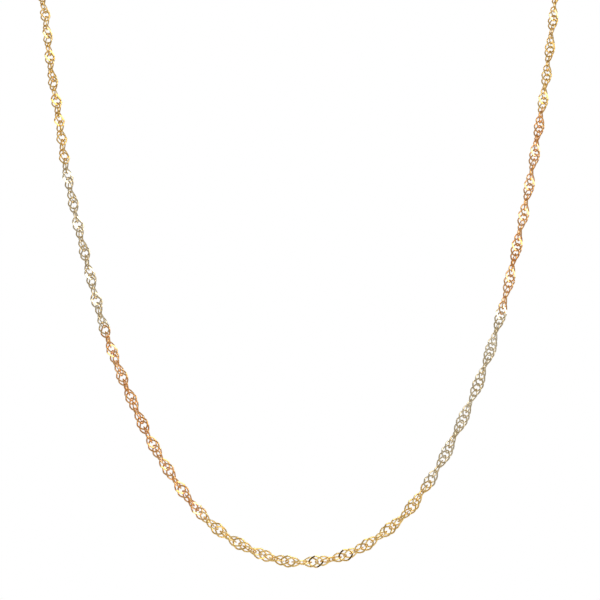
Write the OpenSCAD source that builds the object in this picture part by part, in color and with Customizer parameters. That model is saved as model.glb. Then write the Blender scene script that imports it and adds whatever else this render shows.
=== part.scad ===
// Twisted curb chain necklace in three colours of gold, hanging as worn.
// The chain is a closed loop. Its front hangs in a U and its back runs round the neck to the clasp.
// Each colour of chain is a run of fine twisted links, given here as a tube of the chain's outer width.
// Runs meet face to face. The clasp ring, its two rings and the two end links are real wire rings.
// Origin: where the clasp lies on the nape. +X is to the right in the front view, +Z is up,
// and the front of the necklace faces -Y.

/* [Chain] */
// Outer width of the twisted chain, in mm
chain_w = 2.0; // [1.6:0.1:2.4]
// Number of flat sides round the tube of one run
tube_sides = 12; // [8:2:16]
// Number of rings that a run has between two points of its route
rings_per_span = 3; // [2:1:4]

/* [End links] */
// Outer width of the closed link at each end of the chain, in mm
end_link_w = 2.0; // [1.8:0.1:2.2]
// Thickness of the end link's wire, in mm
end_link_wire = 0.30; // [0.24:0.02:0.34]

/* [Clasp] */
// Radius from the centre of the clasp ring to the middle of its tube, in mm
clasp_r = 2.2; // [2.0:0.1:2.4]
// Thickness of the clasp ring's tube, in mm
clasp_wire = 1.1; // [0.9:0.1:1.2]
// Radius from the centre of the clasp's eye to the middle of its wire, in mm
eye_r = 0.85; // [0.80:0.01:0.90]
// Thickness of the eye's wire, in mm
eye_wire = 0.5; // [0.40:0.02:0.52]
// Diameter of the thumb knob on the clasp ring, in mm
knob_w = 0.9; // [0.7:0.1:1.1]
// Angle of the thumb knob above the line of the chain, in degrees
knob_angle = 60; // [45:5:75]

/* [Jump rings] */
// Radius from the centre of the jump ring to the middle of its wire, in mm
jump_r = 1.3; // [1.2:0.05:1.35]
// Radius from the centre of the catch ring to the middle of its wire, in mm
catch_r = 1.4; // [1.35:0.05:1.5]
// Thickness of the wire of both rings, in mm
ring_wire = 0.5; // [0.44:0.02:0.52]
// Free play left between two rings that hang in each other, in mm
ring_gap = 0.1; // [0.08:0.01:0.12]

/* [Hidden] */

// Colours of the three golds
YELLOW = [0.85, 0.68, 0.32];
WHITE = [0.80, 0.77, 0.72];
ROSE = [0.84, 0.58, 0.42];

// Route of the chain's middle line, from the clasp's left side down, round the front and back up.
// Columns: x, y, z in mm
ROUTE = [
    [  -7.5,    0.0,    0.0], [ -18.0,   -2.0,    0.0], [ -28.5,   -8.5,   -0.5],
    [ -38.5,  -19.0,   -2.0], [ -46.5,  -32.5,   -5.5], [ -50.5,  -42.5,   -9.5],
    [ -52.5,  -52.5,  -16.0], [ -52.0,  -59.0,  -23.0], [ -49.5,  -64.5,  -34.0],
    [ -47.5,  -69.0,  -45.0], [ -45.5,  -72.5,  -53.5], [ -43.5,  -76.5,  -63.0],
    [ -40.5,  -81.0,  -74.0], [ -38.0,  -84.5,  -82.0], [ -34.0,  -89.5,  -94.0],
    [ -28.0,  -95.0, -107.0], [ -23.0,  -98.5, -115.5], [ -16.0, -102.0, -124.0],
    [  -9.5, -104.0, -128.5], [  -1.5, -105.0, -131.0], [   7.5, -104.5, -130.0],
    [  16.0, -102.5, -125.0], [  21.0, -100.0, -119.5], [  25.0,  -97.5, -113.5],
    [  31.0,  -93.0, -102.0], [  35.5,  -88.0,  -90.5], [  39.5,  -82.5,  -77.0],
    [  42.0,  -78.5,  -68.0], [  45.5,  -72.5,  -53.0], [  47.5,  -68.5,  -43.5],
    [  49.5,  -64.0,  -33.0], [  51.5,  -58.5,  -23.0], [  51.5,  -51.5,  -16.0],
    [  50.0,  -42.5,  -10.0], [  45.5,  -32.0,   -5.5], [  37.5,  -19.0,   -2.0],
    [  27.0,   -9.0,   -0.5], [  17.0,   -2.5,    0.0], [   5.5,    0.0,    0.0]];
LAST = len(ROUTE) - 1;
// Direction of the route at both of its ends, straight across the nape
END_DIRECTION = [-1, 0, 0];
// A point inside the loop, from which every tube takes the same sideways direction
LOOP_MIDDLE = [0, -60, -60];

// Length of the straight line from route point i to the next
function chord(i) = norm(ROUTE[i + 1] - ROUTE[i]);

// Direction of the route at point i, from its two neighbours
function heading(i) =
    i == 0 || i == LAST ? END_DIRECTION
    : (ROUTE[i + 1] - ROUTE[i - 1]) / (chord(i) + chord(i - 1));

// Point on the smooth curve between route points i and i + 1, with t from 0 to 1
function on_span(i, t) =
    (2 * t^3 - 3 * t^2 + 1) * ROUTE[i]
    + (t^3 - 2 * t^2 + t) * chord(i) * heading(i)
    + (3 * t^2 - 2 * t^3) * ROUTE[i + 1]
    + (t^3 - t^2) * chord(i) * heading(i + 1);

// Direction of the smooth curve at the same place
function along_span(i, t) =
    (6 * t^2 - 6 * t) * ROUTE[i]
    + (3 * t^2 - 4 * t + 1) * chord(i) * heading(i)
    + (6 * t - 6 * t^2) * ROUTE[i + 1]
    + (3 * t^2 - 2 * t) * chord(i) * heading(i + 1);

function unit(v) = v / norm(v);

// One ring of tube points, square to the route, with radius r
function tube_ring(i, t, r) =
    let (
        p = on_span(i, t),
        ahead = unit(along_span(i, t)),
        out = unit(cross(ahead, p - LOOP_MIDDLE)),
        side = cross(out, ahead)
    )
    [for (k = [0 : tube_sides - 1])
        p + r * (cos(360 * k / tube_sides) * side + sin(360 * k / tube_sides) * out)];

// Tube along the route from point first to point last, closed by a flat face at each end
module tube(first, last, r) {
    steps = (last - first) * rings_per_span;
    rings = [for (s = [0 : steps])
        let (i = min(first + floor(s / rings_per_span), last - 1))
        tube_ring(i, (s - (i - first) * rings_per_span) / rings_per_span, r)];
    points = [for (ring = rings) each ring];
    walls = [for (s = [0 : steps - 1], k = [0 : tube_sides - 1])
        let (
            a = s * tube_sides + k,
            b = s * tube_sides + (k + 1) % tube_sides
        )
        each [[a, a + tube_sides, b], [b, a + tube_sides, b + tube_sides]]];
    start_face = [for (k = [0 : tube_sides - 1]) k];
    end_face = [for (k = [tube_sides - 1 : -1 : 0]) steps * tube_sides + k];
    polyhedron(points = points, faces = concat(walls, [start_face, end_face]), convexity = 4);
}

// Round wire ring about the Z axis: r to the middle of the wire
module wire_ring(r, wire) {
    rotate_extrude($fn = 64)
        translate([r, 0])
            circle(d = wire, $fn = 32);
}

// The same ring standing upright, facing the neck
module upright_ring(r, wire) {
    rotate([90, 0, 0])
        wire_ring(r, wire);
}

// Places along X, each from its neighbour on the clasp's side.
// Two linked rings have their middles apart by both wire halves and the free play where they touch.
eye_x = -(clasp_r + eye_wire / 2 + 0.8);
jump_right_x = eye_x - eye_r + (eye_wire + ring_wire) / 2 + ring_gap;
jump_x = jump_right_x - jump_r;
end_left_x = jump_x - jump_r + (ring_wire + end_link_wire) / 2 + ring_gap - end_link_mid();
catch_left_x = clasp_r - (clasp_wire + ring_wire) / 2 - ring_gap;
catch_x = catch_left_x + catch_r;
end_right_x = catch_x + catch_r - (ring_wire + end_link_wire) / 2 - ring_gap + end_link_mid();

// Radius from the end link's centre to the middle of its wire
function end_link_mid() = (end_link_w - end_link_wire) / 2;

// One colour of chain, as a tube between two points of the route
module chain_run(first, last, gold) {
    color(gold)
        tube(first, last, chain_w / 2);
}

// Closed link at one end of the chain
module end_link(x) {
    color(YELLOW)
        translate([x, 0, 0])
            upright_ring(end_link_mid(), end_link_wire);
}

// Ring lying flat across the line of the chain, through its two upright neighbours
module flat_ring(x, r) {
    color(YELLOW)
        translate([x, 0, 0])
            wire_ring(r, ring_wire);
}

// Clasp ring with its fixed eye and thumb knob, one soldered piece
module clasp_ring() {
    color(YELLOW)
        union() {
            upright_ring(clasp_r, clasp_wire);
            translate([eye_x, 0, 0])
                upright_ring(eye_r, eye_wire);
            rotate([0, -knob_angle, 0])
                translate([clasp_r + clasp_wire / 2 + knob_w / 4, 0, 0])
                    sphere(d = knob_w, $fn = 32);
        }
}

chain_run(0, 1, YELLOW);  // chain_01_yellow
chain_run(1, 4, WHITE);  // chain_02_white
chain_run(4, 7, ROSE);  // chain_03_rose
chain_run(7, 11, YELLOW);  // chain_04_yellow
chain_run(11, 14, WHITE);  // chain_05_white
chain_run(14, 17, ROSE);  // chain_06_rose
chain_run(17, 22, YELLOW);  // chain_07_yellow
chain_run(22, 25, WHITE);  // chain_08_white
chain_run(25, 28, ROSE);  // chain_09_rose
chain_run(28, 32, YELLOW);  // chain_10_yellow
chain_run(32, 35, WHITE);  // chain_11_white
chain_run(35, 38, ROSE);  // chain_12_rose
end_link(end_left_x);  // end_link_left
flat_ring(jump_x, jump_r);  // jump_ring
clasp_ring();
flat_ring(catch_x, catch_r);  // catch_ring
end_link(end_right_x);  // end_link_right
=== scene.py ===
# %% [markdown]
# A twisted chain necklace in three colours of gold
#
# The necklace is one closed loop of fine twisted curb chain, in runs of yellow, white and rose gold.
# It hangs as it does on a neck: a deep U in front, and a short way round the nape to a ring clasp.
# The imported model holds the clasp, its rings and the end links as real wire rings, and each run of
# chain as a plain tube. This lesson turns the tubes into links, polishes the gold and sets up the
# photo studio.

import bpy
import numpy as np
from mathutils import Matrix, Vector


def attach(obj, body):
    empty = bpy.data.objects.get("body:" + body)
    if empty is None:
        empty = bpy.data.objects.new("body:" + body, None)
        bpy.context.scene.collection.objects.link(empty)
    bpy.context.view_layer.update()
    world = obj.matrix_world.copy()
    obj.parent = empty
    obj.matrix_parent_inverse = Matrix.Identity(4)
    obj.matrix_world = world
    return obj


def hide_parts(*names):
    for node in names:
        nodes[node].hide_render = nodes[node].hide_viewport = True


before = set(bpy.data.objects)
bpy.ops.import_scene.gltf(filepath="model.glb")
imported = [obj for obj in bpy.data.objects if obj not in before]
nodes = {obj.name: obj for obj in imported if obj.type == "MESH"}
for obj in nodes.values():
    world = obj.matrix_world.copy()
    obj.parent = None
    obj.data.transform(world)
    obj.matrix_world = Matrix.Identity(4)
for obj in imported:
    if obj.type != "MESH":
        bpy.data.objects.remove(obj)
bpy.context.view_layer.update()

MM = 0.001
print("packed nodes:", len(nodes))

# %% [markdown]
# Camera
#
# The chain is a sixth wider at the bottom of the photo than at its top. The chain itself has one
# width, so the camera is near, and the U leans towards it at its foot, as it does on a chest.
# A camera 0.2 m before the lowest point shows that widening, and a 74 mm lens then fills the frame.
# It looks straight ahead at half height.

# %% Camera
CAMERA_PLACE = (0.0, -0.305, -0.0886)
# Lens and sensor are in millimetres, as on a real camera
LENS = 74.07
SENSOR = 36.0
NEAREST_SEEN = 0.01
FARTHEST_SEEN = 20
scene = bpy.context.scene
camera_data = bpy.data.cameras.new("camera")
camera_data.lens = LENS
camera_data.sensor_width = SENSOR
camera_data.clip_start = NEAREST_SEEN
camera_data.clip_end = FARTHEST_SEEN
camera = bpy.data.objects.new("camera", camera_data)
camera.location = CAMERA_PLACE
camera.rotation_euler = (np.pi / 2, 0, 0)
scene.collection.objects.link(camera)
scene.camera = camera
print("camera with a", LENS, "mm lens at", CAMERA_PLACE)

# %% [markdown]
# The chain's way
#
# A hanging chain has one smooth middle line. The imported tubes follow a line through 39 points, so
# the links have to follow the same one. It could be a Blender curve, but a formula gives every
# link's place at once: between two points runs a cubic, whose end directions come from the
# neighbours on each side.

# %% Route of the middle line
# Columns: x, y, z, from the clasp's left side down, round the front and back up
ROUTE = MM * np.array([
    [-7.5, 0, 0], [-18, -2, 0], [-28.5, -8.5, -0.5], [-38.5, -19, -2], [-46.5, -32.5, -5.5],
    [-50.5, -42.5, -9.5], [-52.5, -52.5, -16], [-52, -59, -23], [-49.5, -64.5, -34],
    [-47.5, -69, -45], [-45.5, -72.5, -53.5], [-43.5, -76.5, -63], [-40.5, -81, -74],
    [-38, -84.5, -82], [-34, -89.5, -94], [-28, -95, -107], [-23, -98.5, -115.5],
    [-16, -102, -124], [-9.5, -104, -128.5], [-1.5, -105, -131], [7.5, -104.5, -130],
    [16, -102.5, -125], [21, -100, -119.5], [25, -97.5, -113.5], [31, -93, -102],
    [35.5, -88, -90.5], [39.5, -82.5, -77], [42, -78.5, -68], [45.5, -72.5, -53],
    [47.5, -68.5, -43.5], [49.5, -64, -33], [51.5, -58.5, -23], [51.5, -51.5, -16],
    [50, -42.5, -10], [45.5, -32, -5.5], [37.5, -19, -2], [27, -9, -0.5], [17, -2.5, 0],
    [5.5, 0, 0]])
END_DIRECTION = np.array([-1.0, 0.0, 0.0])
STEPS_PER_SPAN = 60


def unit(v):
    """Each row of v, brought to length one"""
    return v / np.linalg.norm(v, axis=-1, keepdims=True)


def smooth_line(points, end_direction, steps):
    """Cubic through the points, in so many steps from each to the next. The direction at a point is
    the step between its two neighbours, over the sum of both chords."""
    chord = np.linalg.norm(np.diff(points, axis=0), axis=1)
    heading = np.empty_like(points)
    heading[1:-1] = (points[2:] - points[:-2]) / (chord[1:] + chord[:-1])[:, None]
    heading[[0, -1]] = end_direction
    t = np.arange(steps)[None, :, None] / steps
    pull = chord[:, None, None]
    curve = ((2 * t**3 - 3 * t**2 + 1) * points[:-1, None]
             + (t**3 - 2 * t**2 + t) * pull * heading[:-1, None]
             + (3 * t**2 - 2 * t**3) * points[1:, None]
             + (t**3 - t**2) * pull * heading[1:, None])
    return np.vstack([curve.reshape(-1, 3), points[-1:]])


line = smooth_line(ROUTE, END_DIRECTION, STEPS_PER_SPAN)
way = np.append(0, np.cumsum(np.linalg.norm(np.diff(line, axis=0), axis=1)))
knots = way[::STEPS_PER_SPAN]
print("length of the chain in mm:", round(way[-1] / MM, 1))

# %% [markdown]
# Directions along the way
#
# A link needs three directions at its place: along the chain, towards the viewer in front, and
# sideways. A twist counted from the viewer's direction makes it easy to compare with the photo: at
# a whole number of half turns the links are seen edge on, and the chain looks thin there.

# %% Directions
FRONT = np.array([0.0, -1.0, 0.0])
line_direction = np.gradient(line, way, axis=0)


def on_way(places):
    """Middle line point and three directions at each place, a length from the chain's first end.
    Along is the line's direction, toward is FRONT made square to it, and sideways is square to both."""
    def between(table):
        return np.stack([np.interp(places, way, table[:, axis]) for axis in range(3)], axis=1)
    along = unit(between(line_direction))
    toward = unit(FRONT - (along @ FRONT)[:, None] * along)
    return between(line), along, np.cross(toward, along), toward


half_way = np.array([way[-1] / 2])
print("half way, in mm:", np.round(on_way(half_way)[0] / MM, 1))
for title, direction in zip(("along", "sideways", "toward"), on_way(half_way)[1:]):
    print(title, "there:", np.round(direction, 2))

# %% [markdown]
# Twist and spacing
#
# The chain is twisted by hand, so neither its turns nor its links are quite evenly spread. Charts
# hold what the photo shows. The links and the half turns were counted off the photo first. A fit then
# moved both, the links by up to a millimetre, until the drawn links fell on the photo's. The left
# side and the bottom are slack and lacy, and the links there slide together in pairs. The right side
# is pulled out. Its links do not pair, and they are a little longer, so that a link stays clear of
# the next but one. The half turns start and end with a whole number: the first and the last link
# lie flat, because each passes through an upright end link.

# %% Charts of spacing and twist
# Columns: place along the chain in mm, number of the link there
LINKS_AT = np.array([
    [0.65, 0], [100.72, 99.81], [122.51, 121.77], [136.26, 135.2], [142.61, 141.3],
    [149.19, 147.8], [166.36, 165.6], [168.72, 168], [184.05, 184.24], [185.45, 185.7],
    [192.56, 193.34], [204.05, 205.6], [208.86, 210.79], [222.32, 225.4], [224.52, 227.73],
    [234.95, 238.52], [240.2, 244.02], [245.56, 249.74], [248.42, 252.7], [252.5, 256.67],
    [260.28, 264.6], [263.76, 268.09], [269.63, 273.62], [275.56, 279.63], [283, 286.9],
    [292.61, 295.93], [300.57, 303.62], [310.63, 312.98], [320.83, 322.97], [331.4, 333.04],
    [344.33, 345.28], [349.05, 349.7], [444.7, 440]])
# Columns: place along the chain in mm, half turns up to there
TWIST = np.array([
    [0.65, -19], [100.72, 0.88], [107.39, 2.22], [115.35, 3.78], [121.12, 4.95], [129.38, 7.07],
    [133.18, 8.02], [143.93, 10.17], [149.19, 11.16], [163.47, 13.97], [168.42, 14.91],
    [171.27, 15.51], [191.66, 19.89], [195.08, 20.67], [203.15, 22.44], [214.04, 24.93],
    [220.28, 26.5], [224.78, 27.42], [229.77, 28.44], [231.67, 28.99], [233.62, 29.52],
    [235.86, 29.99], [245.56, 31.79], [251.68, 33], [255.42, 33.58], [263.76, 34.84],
    [269.63, 35.68], [275.56, 36.56], [285.32, 37.97], [299, 39.99], [307.07, 41.28],
    [318.23, 42.98], [320.83, 43.45], [330.61, 45.13], [335.18, 45.95], [349.15, 47.97],
    [444.7, 62]])
# Columns: place along the chain in mm, slide of every second link towards the next one in mm
PAIRING = np.array([
    [0.65, 0.0], [8.0, 0.26], [168.0, 0.26], [180.0, 0.21], [194.0, 0.13], [222.0, 0.12],
    [240.0, 0.16], [252.0, 0.0], [330.0, 0.0], [342.0, 0.15], [440.0, 0.15], [444.7, 0.0]])
print("half turns of the whole chain:", TWIST[-1, 1] - TWIST[0, 1])

# %% Charts of a link's length, play and colour
# Columns: place along the chain in mm, length of a link against the usual one
STRETCH = np.array([
    [0.65, 1.04], [14.0, 1.0], [108.0, 1.0], [122.0, 1.04], [143.0, 1.045], [152.0, 1.0],
    [245.0, 1.0], [258.0, 1.05], [290.0, 1.07], [320.0, 1.07], [350.0, 1.06], [444.7, 1.06]])
# Columns: place along the chain in mm, a link's own play about the chain in radians
LOOSE = np.array([
    [0.65, 0.04], [90.0, 0.10], [128.0, 0.10], [140.0, 0.05], [170.0, 0.04], [444.7, 0.04]])
# Columns: place along the chain in mm, how much deeper than usual the gold's colour is there, that is,
# how much more of the painted reflection it takes
DEPTH = np.array([
    [0.65, 0.0], [198.0, 0.0], [206.0, -0.2], [246.0, -0.2], [252.0, -0.14], [284.0, -0.14],
    [292.0, 0.0], [444.7, 0.0]])
# How far the colour of a single link may be from its neighbours'
TONE = 0.25
print("links are up to", STRETCH[:, 1].max(), "times as long as the usual one")

# %% [markdown]
# Place, turn and colour of each link
#
# Between two rows of a chart the value runs in a straight line. Real links also hang a little
# unevenly, and no two flash alike, so chance adds a small turn and a small change of colour to each.
# Its seed is fixed, and the chain comes out the same every time.

# %% Place, turn and colour of each link
SEED = 5


def read_chart(chart, places):
    """Second column of a chart at each place in m, on straight lines between its rows"""
    return np.interp(places / MM, chart[:, 0], chart[:, 1])


rank = np.arange(int(LINKS_AT[-1, 1]) + 1)
even_place = MM * np.interp(rank, LINKS_AT[:, 1], LINKS_AT[:, 0])
slide = MM * np.where(rank % 2 == 1, read_chart(PAIRING, even_place), 0)
link_place = even_place + slide
chance = np.random.default_rng(SEED)
play = read_chart(LOOSE, link_place) * chance.uniform(-1, 1, len(rank))
link_turn = np.pi / 2 + np.pi * read_chart(TWIST, link_place) + play
link_tone = TONE * chance.uniform(-1, 1, len(rank)) + read_chart(DEPTH, link_place)
spacing = (link_place[-1] - link_place[0]) / rank[-1]
print("links:", len(rank), "mean spacing in mm:", round(spacing / MM, 3))

# %% [markdown]
# One link
#
# A link is a ring of drawn gold wire, soldered shut and pressed to a rounded diamond. It is longer
# than twice the spacing, so each link passes through the next one and the one after it, and the
# chain has no gaps. It is also bent like a saddle, so that its neighbours nest in it. Two of its
# four sides stand up on each face, and there a cutting tool leaves mirror flats, which give the
# chain its flashes. A Blender torus is round and flat. Here the ring is worked out as a grid
# instead: one parameter goes round the ring and one round the wire, and a cut is simply a height
# that no point may pass.

# %% Shape of one link
# Half length and half width go to the middle of the wire
LINK_HALF_LENGTH = 1.18 * MM
LINK_HALF_WIDTH = 0.895 * MM
POINTED = 1.35
SADDLE = 0.12 * MM
WIRE_RADIUS = 0.138 * MM
# Heights of the tool's cuts over the link's middle, on its two faces and at its two side corners
FACE_CUT = 0.125 * MM
SIDE_CUT = 1.0 * MM
RING_SIDES = 16
# Corners of the wire's outline. Its top and its bottom side lie level, so a face cut takes them whole
WIRE_ANGLES = np.radians([0, 48, 132, 180, 228, 312])
WIRE_SIDES = len(WIRE_ANGLES)


def signed_power(v, power):
    """v to a power, with its sign kept"""
    return np.sign(v) * np.abs(v) ** power


def link_shape():
    """Points of one link, length along x and flat in z = 0, and the faces that the tool has cut.
    The wire's middle line has x = half length * cos^p, y = half width * sin^p and
    z = -2 saddle cos^p sin^p, where p over one makes the ellipse more pointed. The wire's outline
    is carried round it, square to its direction as seen from above."""
    ring = 2 * np.pi * (np.arange(RING_SIDES) + 0.5) / RING_SIDES
    a, b = signed_power(np.cos(ring), POINTED), signed_power(np.sin(ring), POINTED)
    line_x, line_y = LINK_HALF_LENGTH * a, LINK_HALF_WIDTH * b
    ahead_x, ahead_y = (np.roll(v, -1) - np.roll(v, 1) for v in (line_x, line_y))
    outward = unit(np.stack([ahead_y, -ahead_x], axis=1))
    out, up = WIRE_RADIUS * np.cos(WIRE_ANGLES), WIRE_RADIUS * np.sin(WIRE_ANGLES)
    x = line_x[:, None] + out * outward[:, :1]
    y = line_y[:, None] + out * outward[:, 1:]
    z = -2 * SADDLE * (a * b)[:, None] + up
    at_limit = (np.abs(z) >= FACE_CUT) | (np.abs(y) >= SIDE_CUT)
    y, z = np.clip(y, -SIDE_CUT, SIDE_CUT), np.clip(z, -FACE_CUT, FACE_CUT)
    beside = at_limit & np.roll(at_limit, -1, axis=1)
    return np.stack([x, y, z], axis=-1), (beside & np.roll(beside, -1, axis=0)).ravel()


shape, cut_faces = link_shape()
print("one link in mm:", np.round(np.ptp(shape, axis=(0, 1)) / MM, 2))
print("cut faces:", cut_faces.sum(), "of", cut_faces.size)

# %% [markdown]
# All the links
#
# An array modifier along a curve could repeat the link, but it gives every copy the same length and
# an even twist. Here one array holds the points of all the links: its first axis counts the links,
# and after it come the ring, the wire and x, y, z.

# %% All the links


def link_grid(place, turn, stretch):
    """The link at each place: x, times the stretch, goes along the chain, and y and z turn about it
    from the sideways and the viewer's direction"""
    middle, along, side, toward = (v[:, None, None, :] for v in on_way(place))
    c, s = np.cos(turn)[:, None, None, None], np.sin(turn)[:, None, None, None]
    x, y, z = (shape[None, ..., axis, None] for axis in range(3))
    x = x * stretch[:, None, None, None]
    return middle + x * along + (y * c - z * s) * side + (y * s + z * c) * toward


grid = link_grid(link_place, link_turn, read_chart(STRETCH, link_place))
print("points in all the links:", grid[..., 0].size)

# %% [markdown]
# Runs of one colour
#
# Each run of one gold is one piece, so that it can take one material and stand for one packed tube.
# The faces are the same for every link, apart from a step in the numbering. Two numbers on each
# face go along for the gold: whether the tool has cut it, and its link's change of colour.

# %% Meshes from arrays


def make_piece(name, points, faces):
    """Mesh object from an array of points and an array of faces"""
    mesh = bpy.data.meshes.new(name)
    mesh.from_pydata(points.reshape(-1, 3), [], faces.tolist())
    piece = bpy.data.objects.new(name, mesh)
    scene.collection.objects.link(piece)
    return piece


def wrapped_quads(count, around, across):
    """Four-cornered faces of count closed grids, each wrapped round in both directions"""
    i, j = np.meshgrid(np.arange(around), np.arange(across), indexing="ij")
    i_next, j_next = (i + 1) % around, (j + 1) % across
    corners = [i * across + j, i_next * across + j, i_next * across + j_next, i * across + j_next]
    one = np.stack(corners, axis=-1).reshape(-1, 4)
    return (one[None] + (np.arange(count) * around * across)[:, None, None]).reshape(-1, 4)


def number_faces(piece, name, values):
    """Gives each face of the piece a number that materials can read"""
    attribute = piece.data.attributes.new(name, "FLOAT", "FACE")
    attribute.data.foreach_set("value", values.astype(np.float32))


print("faces of one link:", len(wrapped_quads(1, RING_SIDES, WIRE_SIDES)))

# %% Runs of links
# Columns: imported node, material slot, first and last point of the route
RUNS = [
    ("chain_01_yellow", "yellow_gold", 0, 1), ("chain_02_white", "white_gold", 1, 4),
    ("chain_03_rose", "rose_gold", 4, 7), ("chain_04_yellow", "yellow_gold", 7, 11),
    ("chain_05_white", "white_gold", 11, 14), ("chain_06_rose", "rose_gold", 14, 17),
    ("chain_07_yellow", "yellow_gold", 17, 22), ("chain_08_white", "white_gold", 22, 25),
    ("chain_09_rose", "rose_gold", 25, 28), ("chain_10_yellow", "yellow_gold", 28, 32),
    ("chain_11_white", "white_gold", 32, 35), ("chain_12_rose", "rose_gold", 35, 38)]

chain_pieces = []
for node, slot, first, last in RUNS:
    inside = (link_place >= knots[first]) & (link_place < knots[last])
    links = grid[inside]
    quads = wrapped_quads(len(links), RING_SIDES, WIRE_SIDES)
    piece = make_piece(node.replace("chain", "links"), links, quads)
    flat = np.tile(cut_faces, len(links))
    piece.data.polygons.foreach_set("use_smooth", ~flat)
    number_faces(piece, "cut", flat)
    number_faces(piece, "tone", np.repeat(link_tone[inside], cut_faces.size))
    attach(piece, "root")
    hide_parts(node)
    chain_pieces.append((piece, slot))
    print(piece.name, "links:", len(links), "triangles:", 2 * len(quads))

# %% [markdown]
# Colours and shader nodes
#
# A colour given in the script is an sRGB value. Blender's shaders add up light, so they need it as
# linear light. A material is a small net of nodes, and one helper adds a node, sets it and joins it up.

# %% Helpers for colours and nodes


def linear(hex_colour):
    """sRGB hex colour as linear red, green, blue and an alpha of one"""
    value = np.array([int(hex_colour[i:i + 2], 16) for i in (1, 3, 5)]) / 255
    light = np.where(value <= 0.04045, value / 12.92, ((value + 0.055) / 1.055) ** 2.4)
    return (*light.tolist(), 1.0)


def add(tree, kind, inputs, **settings):
    """Adds one node with its settings, and fills its sockets with plain values or with links from
    other nodes"""
    node = tree.nodes.new(kind)
    for name, value in settings.items():
        setattr(node, name, value)
    for name, value in inputs.items():
        if isinstance(value, bpy.types.NodeSocket):
            tree.links.new(value, node.inputs[name])
        else:
            node.inputs[name].default_value = value
    return node


print("half grey as linear light:", round(linear("#808080")[0], 3))

# %% [markdown]
# Gold
#
# The three metals are 14 carat yellow, white and rose gold. Gold is a metal, so all its colour is in
# its reflection. The wire is drawn and tumbled, which leaves it bright but a little soft, with
# shallow dents. The cut flats are mirror bright. Where a link lies among its neighbours it mirrors
# them and looks deeper. So each gold has a clean colour and a deep one, which is a painted
# reflection of the neighbouring links. The two mix at random, in clouds of half a millimetre and
# from link to link, not by where a link lies. One recipe with two colours makes all three.

# %% Polished gold
WIRE_ROUGHNESS = 0.28
FLAT_ROUGHNESS = 0.14
CLOUD_SIZE = 0.5 * MM
CLOUD_DETAIL = 3.0
# Real tumbling marks are too fine to show, and are drawn a tenth of a millimetre wide
DENT_SIZE = 0.1 * MM
DENT_DETAIL = 1.0
DENT_DEPTH = 0.01 * MM
DENT_STRENGTH = 0.35


def polished_gold(name, clean, deep_painted_reflection):
    """Bright tumbled alloy, with mirror flats where the number named cut is one. The clean colour and
    the deep one, a painted reflection, mix by clouds and by the number named tone, one for each link.
    Only the tumbled wire has dents."""
    material = bpy.data.materials.new(name)
    material.use_nodes = True
    tree = material.node_tree
    shader = tree.nodes["Principled BSDF"]
    shader.inputs["Metallic"].default_value = 1.0
    place = add(tree, "ShaderNodeTexCoord", {}).outputs["Object"]
    clouds = add(tree, "ShaderNodeTexNoise",
                 {"Vector": place, "Scale": 1 / CLOUD_SIZE, "Detail": CLOUD_DETAIL})
    tone = add(tree, "ShaderNodeAttribute", {}, attribute_name="tone")
    share = add(tree, "ShaderNodeMath",
                {0: clouds.outputs["Fac"], 1: tone.outputs["Fac"]}, operation="ADD")
    # The deep colour is a painted reflection of the neighbouring links, mixed in by clouds and per link
    colour = add(tree, "ShaderNodeMix",
                 {"Factor": share.outputs[0], "A": linear(clean), "B": linear(deep_painted_reflection)},
                 data_type="RGBA")
    tree.links.new(colour.outputs["Result"], shader.inputs["Base Color"])
    cut = add(tree, "ShaderNodeAttribute", {}, attribute_name="cut").outputs["Fac"]
    gloss = add(tree, "ShaderNodeMapRange",
                {"Value": cut, "To Min": WIRE_ROUGHNESS, "To Max": FLAT_ROUGHNESS})
    tree.links.new(gloss.outputs["Result"], shader.inputs["Roughness"])
    dents = add(tree, "ShaderNodeTexNoise",
                {"Vector": place, "Scale": 1 / DENT_SIZE, "Detail": DENT_DETAIL})
    strength = add(tree, "ShaderNodeMapRange",
                   {"Value": cut, "To Min": DENT_STRENGTH, "To Max": 0.0})
    surface = add(tree, "ShaderNodeBump",
                  {"Height": dents.outputs["Fac"], "Strength": strength.outputs["Result"],
                   "Distance": DENT_DEPTH})
    tree.links.new(surface.outputs["Normal"], shader.inputs["Normal"])
    return material


# Left colour: clean metal. Right colour: deep metal, a painted reflection of the neighbouring links
GOLDS = {
    "yellow_gold": polished_gold("polished_yellow_gold", "#f4d690", "#dba63c"),
    "white_gold": polished_gold("polished_white_gold", "#e6d9bc", "#c6a868"),
    "rose_gold": polished_gold("polished_rose_gold", "#f4c78c", "#da9440"),
}
for piece, slot in chain_pieces:
    piece.data.materials.append(GOLDS[slot])
print("golds:", ", ".join(gold.name for gold in GOLDS.values()))

# %% [markdown]
# Clasp and end links
#
# The clasp, its two rings and the closed link at each end of the chain are already real wire rings
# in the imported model, so they keep their shape. They are plain yellow gold, as both ends of the
# photo's chain are. They have no numbers named cut or tone, and a missing number counts as zero:
# they come out as tumbled wire without flats.

# %% Gold on the clasp and the rings
RINGS = ("end_link_left", "jump_ring", "clasp_ring", "catch_ring", "end_link_right")
for node in RINGS:
    nodes[node].material_slots[0].material = GOLDS["yellow_gold"]
print("rings in yellow gold:", len(RINGS))

# %% [markdown]
# Studio
#
# The photo has a white ground with no shadow, so the camera sees a white world. The metal sees a
# dimmer one, and in it three soft lamps, or the gold would be as pale as the ground. The floor lies
# below the necklace, out of the front view.

# %% Floor
FLOOR_RADIUS = 1.2
FLOOR_HEIGHT = -0.50
FLOOR_SIDES = 96


def matt(name, colour, roughness):
    """Paint or cloth that scatters light evenly"""
    material = bpy.data.materials.new(name)
    material.use_nodes = True
    shader = material.node_tree.nodes["Principled BSDF"]
    shader.inputs["Base Color"].default_value = linear(colour)
    shader.inputs["Roughness"].default_value = roughness
    return material


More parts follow.
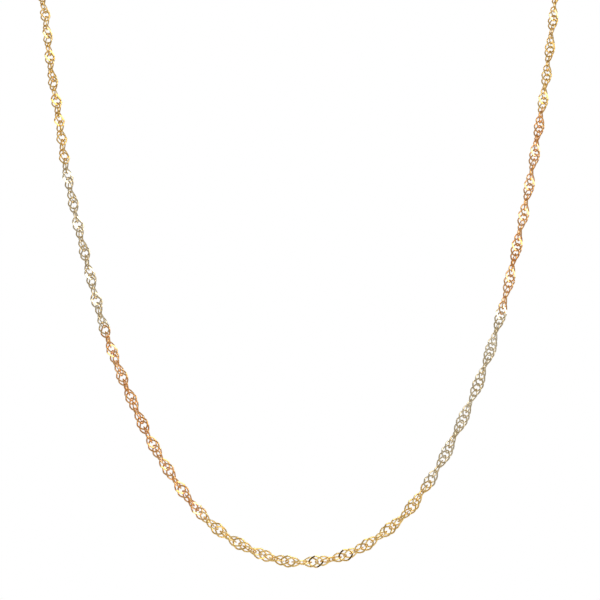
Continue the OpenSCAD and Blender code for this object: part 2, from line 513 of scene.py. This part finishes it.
turn = 2 * np.pi * np.arange(FLOOR_SIDES) / FLOOR_SIDES
height = np.full(FLOOR_SIDES, FLOOR_HEIGHT)
rim = np.stack([FLOOR_RADIUS * np.cos(turn), FLOOR_RADIUS * np.sin(turn), height], axis=1)
floor = make_piece("floor", rim, np.arange(FLOOR_SIDES)[None])
floor.data.materials.append(matt("pale_floor_paint", "#f2f2f0", 0.9))
print("floor", 2 * FLOOR_RADIUS, "m across at a height of", FLOOR_HEIGHT, "m")

# %% White world
WHITE = (1.0, 1.0, 1.0, 1.0)
SEEN_BRIGHTNESS = 1.0
CAST_BRIGHTNESS = 0.48
scene.view_settings.view_transform = "Standard"
world = bpy.data.worlds.new("studio")
scene.world = world
world.use_nodes = True
sky = world.node_tree
sky.nodes.clear()
rays = add(sky, "ShaderNodeLightPath", {})
seen = add(sky, "ShaderNodeBackground", {"Color": WHITE, "Strength": SEEN_BRIGHTNESS})
cast = add(sky, "ShaderNodeBackground", {"Color": WHITE, "Strength": CAST_BRIGHTNESS})
both = add(sky, "ShaderNodeMixShader",
           {0: rays.outputs["Is Camera Ray"], 1: cast.outputs[0], 2: seen.outputs[0]})
add(sky, "ShaderNodeOutputWorld", {"Surface": both.outputs[0]})
print("the world's brightness is", SEEN_BRIGHTNESS, "for the camera,", CAST_BRIGHTNESS, "for metal")

# %% Lamps
LOOP_MIDDLE = Vector((0, -0.07, -0.07))
# Columns: name, place in m, side of the square in m, power in W
LIGHTS = [
    ("key", (0.8, -0.7, 0.9), 1.0, 15),
    ("fill", (-0.9, -0.7, -0.9), 1.0, 11),
    ("back", (0.0, 1.2, 0.6), 0.9, 6)]
for name, place, side, power in LIGHTS:
    lamp = bpy.data.lights.new(name, "AREA")
    lamp.shape = "SQUARE"
    lamp.size = side
    lamp.energy = power
    holder = bpy.data.objects.new(name, lamp)
    holder.location = place
    holder.rotation_euler = (LOOP_MIDDLE - Vector(place)).to_track_quat("-Z", "Y").to_euler()
    holder.visible_camera = False
    scene.collection.objects.link(holder)
    print(name, "lamp:", power, "W from a square of", side, "m")

# %% [markdown]
# The dark camera
#
# Some flats at the bottom of the U are almost black in the photo. They face the lens, and show the
# dark camera. A black card behind the lens does the same. It is kept out of the picture from every
# side.

# %% Black card
CARD_HALF = 0.055
CARD_BEHIND = 0.01
card_middle = np.array(CAMERA_PLACE) + CARD_BEHIND * np.array([0, -1, 0])
corners = card_middle + CARD_HALF * np.array([[-1, 0, -1], [-1, 0, 1], [1, 0, 1], [1, 0, -1]])
card = make_piece("camera_card", corners, np.arange(len(corners))[None])
card.data.materials.append(matt("black_velvet", "#0c0b0a", 1.0))
card.visible_camera = False
print("black card", 2 * CARD_HALF, "m wide, middle at", np.round(card_middle, 4))
